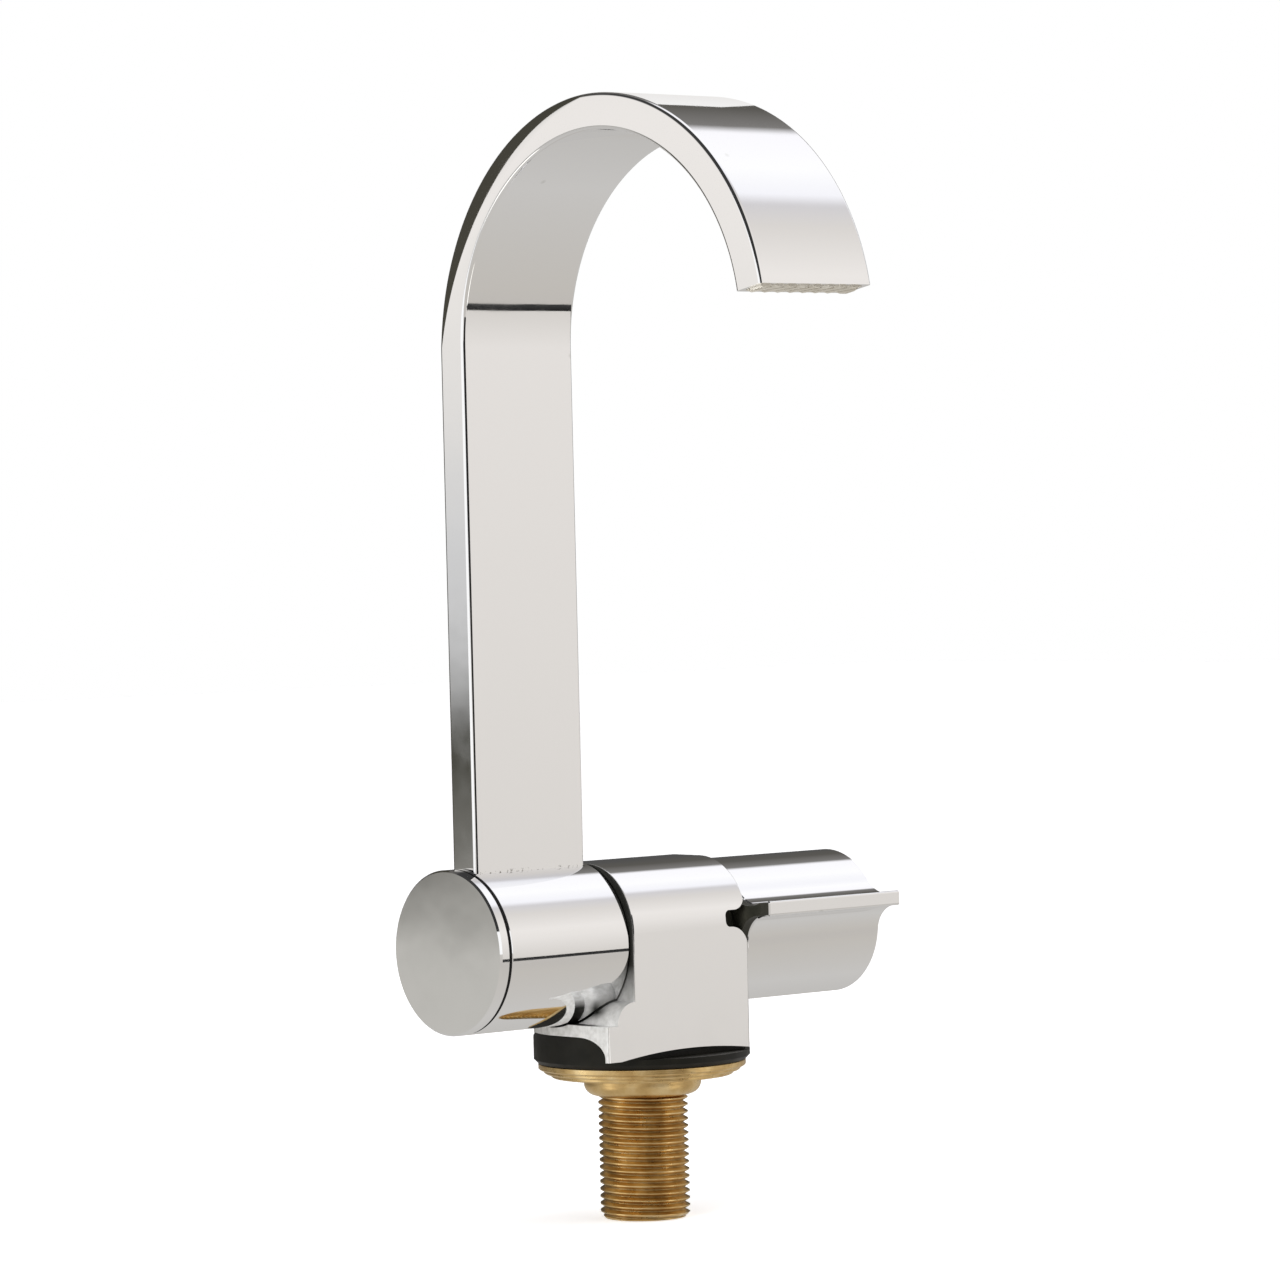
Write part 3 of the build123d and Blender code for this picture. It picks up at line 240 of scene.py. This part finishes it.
# Materials
def cast_skin_and_painted_shade(tree, shader, place, parts, tint, haze, surface):
    """Rough, mottled casting on the left of the body, over the polished tint, haze and surface, with
    painted shade towards the top and in the cradle's pocket under the hub.
    """
    leftward = rescale(tree, parts.outputs["X"], CAST_START, (1, 0))
    facing = tree.nodes.new("ShaderNodeSeparateXYZ")
    tree.links.new(place.outputs["Normal"], facing.inputs["Vector"])
    sideways = rescale(tree, facing.outputs["Y"], (-0.85, -0.6), (0, 1))
    rough_share = product(tree, leftward, sideways)
    skin = ramp(
        tree,
        noise(tree, scale=900, detail=6),
        [(0.32, (0.74, 0.74, 0.72)), (0.5, (0.86, 0.86, 0.85)), (0.64, (0.94, 0.94, 0.93))],
    )
    # Painted shade: darker upward, towards the narrow gap under the hub
    top_shade_share = rescale(tree, parts.outputs["Z"], PAINTED_SHADE_HEIGHTS, (0, 1))
    dark = plain_colour(tree, PAINTED_SHADE_TONE)
    # Painted shade in the tops of the cradle's pocket under the hub, to the left and behind
    behind = rescale(tree, parts.outputs["Y"], POCKET_SHADE_BEHIND, (0, 1))
    upward = rescale(tree, facing.outputs["Z"], (0.15, 0.5), (0, 1))
    outward = rescale(tree, parts.outputs["X"], POCKET_SHADE_ACROSS, (1, 0))
    pocket_shade_share = product(tree, behind, upward, outward)
    skin = blended(tree, pocket_shade_share, skin, dark)
    skin = blended(tree, top_shade_share, skin, dark)
    tint = blended(tree, rough_share, tint, skin)
    skin_haze = spread(tree, noise(tree, scale=700, detail=3), low=0.34, high=0.52)
    haze = blended(tree, rough_share, haze, skin_haze, "FLOAT")
    grain = product(tree, noise(tree, scale=1600, detail=4), rough_share)
    surface = bump(tree, grain, distance=0.00005, under=surface)
    plated = rescale(tree, rough_share, (0, 1), (1, CAST_METAL))
    tree.links.new(plated, shader.inputs["Metallic"])
    return tint, haze, surface


def marked_root(tree, parts, tint):
    """The tint with small marks along the line where the ribbon leaves the hub."""
    low = rescale(tree, parts.outputs["Z"], (ROOT_LINE, ROOT_LINE + ROOT_MARK_HEIGHT), (1, 0))
    marks = rescale(tree, noise(tree, scale=1300, detail=4), (0.55, 0.62), (0, 1))
    marked = product(tree, low, marks)
    return blended(tree, marked, tint, plain_colour(tree, (0.2, 0.19, 0.17)))


def chrome(name="chrome", cast=False, root_marks=False):
    """Polished plating: a mirror with slow waves, haze and a few soft specks.

    The cast kind is rough where the body's left side and foot were never polished,
    and has painted shade towards the top and in the cradle's pocket under the hub."""
    made, tree, shader = material(name)
    shader.inputs["Metallic"].default_value = 1.0
    haze = spread(tree, noise(tree, scale=160, detail=4), low=0.025, high=0.07)
    waves = bump(tree, noise(tree, scale=42, detail=1.0), distance=0.00006)
    surface = bump(tree, noise(tree, scale=170, detail=1.0), distance=0.000005, under=waves)
    specks = node(tree, "ShaderNodeTexVoronoi", Scale=75.0, feature="F1")
    place, parts = coordinates(tree)
    tree.links.new(place.outputs["Object"], specks.inputs["Vector"])
    speck = rescale(tree, specks.outputs["Distance"], (0.015, 0.05), (0.0, 1.0))
    tint = ramp(tree, speck, [(0.0, (0.76, 0.76, 0.75)), (1.0, CHROME_TINT)])
    if cast:
        tint, haze, surface = cast_skin_and_painted_shade(tree, shader, place, parts, tint, haze, surface)
    if root_marks:
        tint = marked_root(tree, parts, tint)
    dress(tree, shader, tint, haze, surface)
    return made


def brass():
    """Machined brass with turning lines, faint tarnish and worn bright places."""
    made, tree, shader = material("brass")
    shader.inputs["Metallic"].default_value = 1.0
    tone = ramp(
        tree,
        noise(tree, scale=260, detail=5),
        [(0.3, shown(196, 162, 106)), (0.5, shown(220, 188, 130)), (0.7, shown(240, 214, 162))],
    )
    haze = spread(tree, noise(tree, scale=500, detail=4), low=0.24, high=0.38)
    lines = noise(tree, scale=900, detail=3, stretch=(0.06, 0.06, 7))
    turning = bump(tree, lines, distance=0.00003)
    surface = bump(tree, noise(tree, scale=2600, detail=3), distance=0.000016, under=turning)
    dress(tree, shader, tone, haze, surface)
    return made


def moulded(name, dark, light, rough, grain=2200, depth=0.00001, shine=0.5):
    """Plastic, rubber or ceramic with a fine grain and a slightly uneven tone."""
    made, tree, shader = material(name)
    shader.inputs["Specular IOR Level"].default_value = shine
    tone = ramp(tree, noise(tree, scale=240, detail=4), [(0.35, dark), (0.65, light)])
    haze = spread(tree, noise(tree, scale=500, detail=3), low=rough - 0.06, high=rough + 0.06)
    surface = bump(tree, noise(tree, scale=grain, detail=3), distance=depth)
    dress(tree, shader, tone, haze, surface)
    return made


def steel():
    """Bright steel with fine drawn marks."""
    made, tree, shader = material("steel")
    shader.inputs["Metallic"].default_value = 1.0
    tone = ramp(tree, noise(tree, scale=300, detail=3), [(0.3, grey(150)), (0.7, grey(190))])
    haze = spread(tree, noise(tree, scale=800, detail=2), low=0.2, high=0.34)
    surface = bump(tree, noise(tree, scale=1500, detail=2, stretch=(6, 1, 1)), distance=0.00001)
    dress(tree, shader, tone, haze, surface)
    return made


black = (shown(14, 14, 9), shown(25, 24, 18))
# Painted light: the notch pieces get a lighter copy of the black plastic, standing in for light the
# shaded notch lacks
notch_black_painted_light = (shown(48, 48, 41), shown(62, 61, 53))
bush_white = (shown(205, 203, 190), shown(222, 220, 208))
seal_black = (grey(16), grey(28))
disc_white = (shown(226, 226, 220), shown(240, 240, 236))
insert_white = (shown(224, 218, 204), shown(242, 238, 228))
finishes = {
    "chrome": chrome(),
    "brass": brass(),
    "black_plastic": moulded("black_plastic", *black, rough=0.5, shine=0.25),
    "bush_plastic": moulded("bush_plastic", *bush_white, rough=0.5),
    "rubber": moulded("rubber", *seal_black, rough=0.6, grain=3000),
    "ceramic": moulded("ceramic", *disc_white, rough=0.2, grain=4000, depth=0.000003),
    "steel": steel(),
    "insert_plastic": moulded("insert_plastic", *insert_white, rough=0.45),
}
for entry in frame["record"]["subparts"]:
    target = nodes[entry["node"]]
    target.data.materials.clear()
    target.data.materials.append(finishes[entry["material_slot"]])
# The body gets the cast chrome, with its painted shade under the hub
nodes["body_housing"].data.materials[0] = chrome("cast_chrome_painted_shade", cast=True)
# Painted light: a lighter plastic on the pieces in the lever's notch, so its shade reads less dark
notch_plastic_painted_light = moulded("notch_plastic_painted_light", *notch_black_painted_light, rough=0.5, shine=0.25)
for name in ("cover_ring", "lever_carrier"):
    nodes[name].data.materials[0] = notch_plastic_painted_light


# Smooth pieces that stand for faceted solids
def piece(name, mesh, finish, sharp_degrees=35):
    """An object from a mesh, smooth but for its sharp edges."""
    made = bpy.data.objects.new(name, mesh)
    bpy.context.scene.collection.objects.link(made)
    mesh.materials.append(finish)
    mesh.shade_smooth()
    mesh.set_sharp_from_angle(angle=math.radians(sharp_degrees))
    weighting = made.modifiers.new("even normals", "WEIGHTED_NORMAL")
    weighting.keep_sharp = True
    return made


def welded_mesh(name, build):
    """A mesh made by a function in bmesh, with its doubles joined and its faces turned out."""
    shape = bmesh.new()
    build(shape)
    bmesh.ops.remove_doubles(shape, verts=shape.verts, dist=1e-7)
    bmesh.ops.dissolve_degenerate(shape, dist=1e-8, edges=shape.edges)
    bmesh.ops.recalc_face_normals(shape, faces=shape.faces)
    mesh = bpy.data.meshes.new(name)
    shape.to_mesh(mesh)
    shape.free()
    return mesh


def loft(shape, loops, closed=False):
    """Quads between neighbouring loops of equal length."""
    rings = [[shape.verts.new(point) for point in loop] for loop in loops]
    pairs = list(zip(rings, rings[1:]))
    if closed:
        pairs.append((rings[-1], rings[0]))
    for first, second in pairs:
        for index in range(len(first)):
            after = (index + 1) % len(first)
            shape.faces.new((first[index], first[after], second[after], second[index]))
    return rings


def rounded_section(width, thickness, inset, corner, rolled=0.0):
    """Points round the ribbon's section: place across its width, and depth from its outer face.

    The outer corner on the left can be rolled off more than the others."""
    points = []
    radius = max(corner - inset, corner / 4)
    for turn, (across, deep) in enumerate(((1, 1), (0, 1), (0, 0), (1, 0))):
        extra = rolled if (across, deep) == (0, 0) else 0.0
        reach_across = radius + extra * (ROLLED_DEPTH - corner)
        reach_deep = radius + extra * (ROLLED_WIDTH - corner)
        middle_across = inset + reach_across + across * (width - 2 * inset - 2 * reach_across)
        middle_deep = inset + reach_deep + deep * (thickness - 2 * inset - 2 * reach_deep)
        for step in range(CORNER_STEPS + 1):
            angle = math.pi / 2 * (turn + step / CORNER_STEPS)
            points.append(
                (
                    middle_across + reach_across * math.cos(angle),
                    middle_deep + reach_deep * math.sin(angle),
                )
            )
    return points


def build_spout(shape):
    """The ribbon from its root in the hub, up and over the arch to its open mouth."""
    low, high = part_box("spout_tube")
    width = high[0] - low[0]
    spring_height = high[2] - ARCH_RADIUS
    middle = high[1] - ARCH_RADIUS
    straight = spring_height - low[2]
    arch_span = math.pi - math.asin(OUTLET_RISE / ARCH_RADIUS)
    mouth_share = MOUTH_DEPTH / (math.pi * ARCH_RADIUS)

    def station(section, share, drop=0.0):
        """The section at a share of the arch, or straight under the arch's start."""
        loop = []
        turn = share * arch_span
        for across, deep in section:
            radius = ARCH_RADIUS - deep
            y = middle + radius * math.cos(turn)
            z = spring_height + radius * math.sin(turn) - drop
            loop.append((low[0] + across, y, z))
        return loop

    def outer_at(share):
        """The outer section, rolled off on the left over the arch's rising part."""
        progress = min(share * arch_span / ROLLED_SPAN, 1)
        rolled = math.sin(math.pi * progress)
        return rounded_section(width, SPOUT_THICKNESS, 0.0, SPOUT_ROUND, rolled)

    outer = rounded_section(width, SPOUT_THICKNESS, 0.0, SPOUT_ROUND)
    inner = rounded_section(width, SPOUT_THICKNESS, SPOUT_WALL, SPOUT_ROUND)
    loops = []
    for step in range(STRAIGHT_STEPS):
        loops.append(station(outer, 0.0, straight * (1 - step / STRAIGHT_STEPS)))
    for step in range(ARCH_STEPS + 1):
        share = step / ARCH_STEPS
        loops.append(station(outer_at(share), share))
    for step in range(MOUTH_STEPS + 1):
        loops.append(station(inner, 1 - mouth_share * step / MOUTH_STEPS))
    rings = loft(shape, loops)
    shape.faces.new(rings[0])
    shape.faces.new(rings[-1])


def lathe(shape, profile):
    """A closed profile of (radius, height) points turned about the stem axis."""
    loops = []
    for turn in range(TURN_STEPS):
        angle = 2 * math.pi * turn / TURN_STEPS
        loops.append([(r * math.cos(angle), r * math.sin(angle), z) for r, z in profile])
    loft(shape, loops, closed=True)


def tail_profile():
    """The flange's rings, the round collar and the core of the tail, with its water way."""
    low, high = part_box("tail_piece")
    core = THREAD_RADIUS - THREAD_DEPTH
    profile = [(WATER_RADIUS, low[2]), (core, low[2]), (core, -COLLAR_HEIGHT)]
    middle = COLLAR_RADIUS - COLLAR_ROUND
    for step in range(CORNER_STEPS + 1):
        angle = math.pi / 2 * step / CORNER_STEPS
        profile.append(
            (
                middle + COLLAR_ROUND * math.sin(angle),
                COLLAR_ROUND - COLLAR_HEIGHT - COLLAR_ROUND * math.cos(angle),
            )
        )
    profile.append((COLLAR_RADIUS, 0))
    height = 0
    for radius, rise in FLANGE_RINGS:
        profile.append((radius - FLANGE_EDGE, height))
        profile.append((radius, height + FLANGE_EDGE))
        height += rise
        profile.append((radius, height - FLANGE_EDGE / 2))
        profile.append((radius - FLANGE_EDGE / 2, height))
    profile += [(SPIGOT_RADIUS, height), (SPIGOT_RADIUS, high[2]), (WATER_RADIUS, high[2])]
    return profile


def thread_radius_at(share, height, bottom):
    """The thread's radius at a share of one pitch, within the chamfer of the tail's end."""
    root_start = THREAD_CREST_SHARE + THREAD_FLANK_SHARE
    if share < THREAD_CREST_SHARE:
        deep = 0.0
    elif share < root_start:
        deep = (share - THREAD_CREST_SHARE) / THREAD_FLANK_SHARE
    elif share < root_start + THREAD_ROOT_SHARE:
        deep = 1.0
    else:
        deep = (1 - share) / THREAD_FLANK_SHARE
    chamfered = THREAD_RADIUS - TAIL_CHAMFER + max(height - bottom, 0)
    return min(THREAD_RADIUS - deep * THREAD_DEPTH, chamfered)


def pitch_rows():
    """Shares of one pitch, evenly between the corners of the thread's profile."""
    root_start = THREAD_CREST_SHARE + THREAD_FLANK_SHARE
    corners = (0.0, THREAD_CREST_SHARE, root_start, 1 - THREAD_FLANK_SHARE, 1.0)
    steps = PITCH_STEPS // (len(corners) - 1)
    rows = []
    for low, high in zip(corners, corners[1:]):
        rows += [low + (high - low) * step / steps for step in range(steps)]
    return rows


def build_thread(shape):
    """One helical ridge, row by row along its turn, from inside the collar to the tail's end."""
    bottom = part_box("tail_piece")[0][2]
    top = COLLAR_ROUND / 4 - COLLAR_HEIGHT
    rows = pitch_rows()
    count = math.ceil((top - bottom) / THREAD_PITCH) + 1
    grid = []
    for column in range(TURN_STEPS + 1):
        turn = column / TURN_STEPS
        angle = 2 * math.pi * turn
        line = []
        for whole in range(-1, count):
            for share in rows:
                height = top - (whole + share + turn) * THREAD_PITCH
                height = min(max(height, bottom), top)
                radius = thread_radius_at(share, height, bottom)
                point = (radius * math.cos(angle), radius * math.sin(angle), height)
                line.append(shape.verts.new(point))
        grid.append(line)
    for first, second in zip(grid, grid[1:]):
        for index in range(len(first) - 1):
            corners = (first[index], first[index + 1], second[index + 1], second[index])
            shape.faces.new(corners)


spout = piece(
    "spout_ribbon",
    welded_mesh("spout_ribbon", build_spout),
    chrome("spout_chrome", root_marks=True),
)
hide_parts("spout_tube")
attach(spout, "spout")
tail_core = piece(
    "tail_core",
    welded_mesh("tail_core", lambda shape: lathe(shape, tail_profile())),
    finishes["brass"],
)
tail_thread = piece("tail_thread", welded_mesh("tail_thread", build_thread), finishes["brass"], 20)
for part in (tail_core, tail_thread):
    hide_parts("tail_piece")
    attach(part, "stem")


# Camera
def place_camera():
    """The photograph's camera, from its place, heading, tilt and roll."""
    image_side = 1280
    focal_pixels = 5586.5
    place = Vector((-0.6885, -0.7745, 0.1007))
    heading = math.radians(41.72)
    tilt = math.radians(1.103)
    roll = math.radians(-1.391)
    ahead = Vector(
        (
            math.sin(heading) * math.cos(tilt),
            math.cos(heading) * math.cos(tilt),
            -math.sin(tilt),
        )
    )
    level = Vector((math.cos(heading), -math.sin(heading), 0))
    upright = level.cross(ahead)
    side = level * math.cos(roll) + upright * math.sin(roll)
    top = upright * math.cos(roll) - level * math.sin(roll)
    data = bpy.data.cameras.new("camera")
    data.sensor_width = 36
    data.sensor_fit = "HORIZONTAL"
    data.lens = focal_pixels / image_side * data.sensor_width
    data.clip_end = 20
    camera = bpy.data.objects.new("camera", data)
    bpy.context.scene.collection.objects.link(camera)
    turn = Matrix((side, top, -ahead)).transposed().to_4x4()
    camera.matrix_world = Matrix.Translation(place) @ turn
    bpy.context.scene.camera = camera


place_camera()

# Studio: what the chrome shows, by height round the fold axis's direction, in degrees.
# The angle runs from the front horizon (0) over the top (90) to the back horizon (180),
# and down under the front (-90).
FLOOR_BANDS = [
    (-170, shown(178, 175, 170)),
    (-150, shown(186, 184, 181)),
    (-95, shown(196, 194, 191)),
    (-30, shown(191, 187, 181)),
    (-18, shown(188, 184, 179)),
    (-8, shown(196, 192, 187)),
]
RIGHT_BANDS = [
    (-180, grey(76)),
    (-176.5, grey(76)),
    (-174, shown(172, 169, 163)),
    *FLOOR_BANDS,
    (0, shown(224, 220, 215)),
    (28, shown(235, 231, 227)),
    (52, shown(217, 213, 209)),
    (64, shown(208, 206, 208)),
    (70, shown(245, 245, 250)),
    (86, shown(254, 254, 255)),
    (112, shown(250, 249, 253)),
    (118, shown(122, 120, 118)),
    (140, shown(88, 86, 82)),
    (180, grey(76)),
]
LEFT_BANDS = [
    (-180, grey(206)),
    (-178.0, grey(192)),
    (-177.4, shown(66, 65, 58)),
    (-175.9, shown(60, 59, 52)),
    (-175.45, shown(184, 182, 176)),
    (-173, shown(188, 186, 181)),
    *FLOOR_BANDS,
    (-2, shown(196, 192, 187)),
    (0, grey(60)),
    (40, grey(50)),
    (150, grey(60)),
    (168, shown(225, 222, 218)),
    (175, shown(236, 232, 228)),
    (178, shown(226, 223, 219)),
    (180, grey(206)),
]
# The left set gives way to the right one where a direction's part along X lies in this range
SIDE_BORDER = (-0.25, -0.15)


def studio_world():
    """A bright studio in bands, one set on each side. What the camera sees directly is plain white."""
    world = bpy.data.worlds.new("studio")
    bpy.context.scene.world = world
    world.use_nodes = True
    tree = world.node_tree
    tree.nodes.clear()
    parts = coordinates(tree, "Generated")[1]
    front = node(tree, "ShaderNodeMath", operation="MULTIPLY")
    front.inputs[1].default_value = -1
    tree.links.new(parts.outputs["Y"], front.inputs[0])
    angle = node(tree, "ShaderNodeMath", operation="ARCTAN2")
    tree.links.new(parts.outputs["Z"], angle.inputs[0])
    tree.links.new(front.outputs["Value"], angle.inputs[1])
    share = rescale(tree, angle.outputs["Value"], (-math.pi, math.pi), (0, 1))
    sides = []
    for bands in (LEFT_BANDS, RIGHT_BANDS):
        stops = [(0.5 + degrees / 360, colour) for degrees, colour in bands]
        sides.append(ramp(tree, share, stops))
    rightness = rescale(tree, parts.outputs["X"], SIDE_BORDER, (0, 1))
    colour = blended(tree, rightness, *sides)
    studio = node(tree, "ShaderNodeBackground", Strength=STUDIO_STRENGTH)
    tree.links.new(colour, studio.inputs["Color"])
    white = node(tree, "ShaderNodeBackground", Color=(1, 1, 1, 1), Strength=1.0)
    path = tree.nodes.new("ShaderNodeLightPath")
    mix = tree.nodes.new("ShaderNodeMixShader")
    output = tree.nodes.new("ShaderNodeOutputWorld")
    tree.links.new(path.outputs["Is Camera Ray"], mix.inputs["Fac"])
    tree.links.new(studio.outputs["Background"], mix.inputs[1])
    tree.links.new(white.outputs["Background"], mix.inputs[2])
    tree.links.new(mix.outputs["Shader"], output.inputs["Surface"])


studio_world()


def card(name, line, heights, colours, strength=STUDIO_STRENGTH):
    """An upright glowing card over a line on the ground, graded from its low edge to its high edge.

    Only reflections see it."""
    start, end = line
    low, high = heights
    mesh = bpy.data.meshes.new(name)
    corners = [(*start, low), (*end, low), (*end, high), (*start, high)]
    mesh.from_pydata(corners, [], [(0, 1, 2, 3)])
    made = bpy.data.objects.new(name, mesh)
    bpy.context.scene.collection.objects.link(made)
    finish = bpy.data.materials.new(name)
    finish.use_nodes = True
    tree = finish.node_tree
    tree.nodes.clear()
    parts = coordinates(tree, "Generated")[1]
    colour = ramp(tree, parts.outputs["Z"], [(0, colours[0]), (1, colours[1])])
    glow = node(tree, "ShaderNodeEmission", Strength=strength)
    output = tree.nodes.new("ShaderNodeOutputMaterial")
    tree.links.new(colour, glow.inputs["Color"])
    tree.links.new(glow.outputs["Emission"], output.inputs["Surface"])
    mesh.materials.append(finish)
    made.visible_camera = False
    made.visible_shadow = False
    made.visible_diffuse = False


# What the cards share, in metres
FRONT_LINE = ((0.1, -0.75), (2.6, -0.75))
FRONT_LOW = -0.1
FRONT_HIGH = 0.25
GAP_HEIGHT = 0.055
LOW_CARD = {
    "heights": (-0.3, -0.045),
    "colours": (shown(225, 221, 214), shown(255, 254, 250)),
    "strength": 1.7,
}
# A broad light card in front with a dark gap under it, and a small light one above the arch
card(
    "front_card",
    line=FRONT_LINE,
    heights=(FRONT_LOW, FRONT_HIGH),
    colours=(shown(212, 208, 203), shown(231, 227, 223)),
)
card(
    "dark_gap",
    line=FRONT_LINE,
    heights=(FRONT_LOW - GAP_HEIGHT, FRONT_LOW),
    colours=(grey(60), grey(30)),
)
card(
    "arch_card",
    line=((0.01, 0.05), (0.1, 0.05)),
    heights=(0.187, 0.262),
    colours=(shown(222, 220, 218), shown(238, 237, 236)),
)
# A dark and a light one for the lines along the ribbon's edges
card(
    "edge_dark",
    line=((-0.4, -0.74), (0.38, -0.74)),
    heights=(-0.03, 0.36),
    colours=(grey(36), grey(36)),
)
card(
    "edge_light",
    line=((-0.75, -0.85), (-0.75, 0.46)),
    heights=(-0.01, 0.36),
    colours=(grey(250), grey(250)),
)
# A dark one behind, for the arch's rolled corner
card(
    "arch_dark",
    line=((-0.56, 0.75), (0.08, 0.75)),
    heights=(-0.06, 0.75),
    colours=(shown(70, 68, 60), shown(64, 62, 55)),
)
# Two bright ones below the horizon
card("low_left_card", line=((-0.509, 0.318), (-0.594, 0.084)), **LOW_CARD)
card("low_right_card", line=((0.155, -0.58), (0.344, -0.49)), **LOW_CARD)

FLOOR_SIDE = 6.0
FLOOR_GAP = 0.0002
FLOOR_GLOW = 0.6
FLOOR_TONES = ((0.86, 0.86, 0.88), (0.88, 0.88, 0.9))


def pale_floor():
    """A pale floor just under the tail, bright enough to read as white where nothing shades it."""
    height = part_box("tail_piece")[0][2] - FLOOR_GAP
    half = FLOOR_SIDE / 2
    mesh = bpy.data.meshes.new("floor")
    signs = ((-1, -1), (1, -1), (1, 1), (-1, 1))
    corners = [(half * across, half * along, height) for across, along in signs]
    mesh.from_pydata(corners, [], [(0, 1, 2, 3)])
    made = bpy.data.objects.new("floor", mesh)
    bpy.context.scene.collection.objects.link(made)
    finish, tree, shader = material("floor")
    tones = [(0.3, FLOOR_TONES[0]), (0.7, FLOOR_TONES[1])]
    pale = ramp(tree, noise(tree, scale=30, detail=2), tones)
    tree.links.new(pale, shader.inputs["Base Color"])
    shader.inputs["Roughness"].default_value = 1.0
    shader.inputs["Specular IOR Level"].default_value = 0.0
    shader.inputs["Emission Color"].default_value = (1, 1, 1, 1)
    shader.inputs["Emission Strength"].default_value = FLOOR_GLOW
    mesh.materials.append(finish)
    made.visible_glossy = False
    made.visible_diffuse = False
    made.visible_transmission = False


pale_floor()


def lamp(name, place, target, size, power):
    """A soft square lamp that points at a target."""
    data = bpy.data.lights.new(name, "AREA")
    data.size = size
    data.energy = power
    made = bpy.data.objects.new(name, data)
    bpy.context.scene.collection.objects.link(made)
    made.location = place
    made.rotation_euler = (Vector(target) - Vector(place)).to_track_quat("-Z", "Y").to_euler()
    made.visible_glossy = False


LAMP_TARGET = (0, 0, 0.05)
lamp("key", place=(-0.25, -0.45, 1.3), target=LAMP_TARGET, size=0.8, power=8)
lamp("side", place=(-1.3, -0.35, 0.3), target=LAMP_TARGET, size=0.5, power=12)

bpy.context.scene.view_settings.view_transform = "Standard"
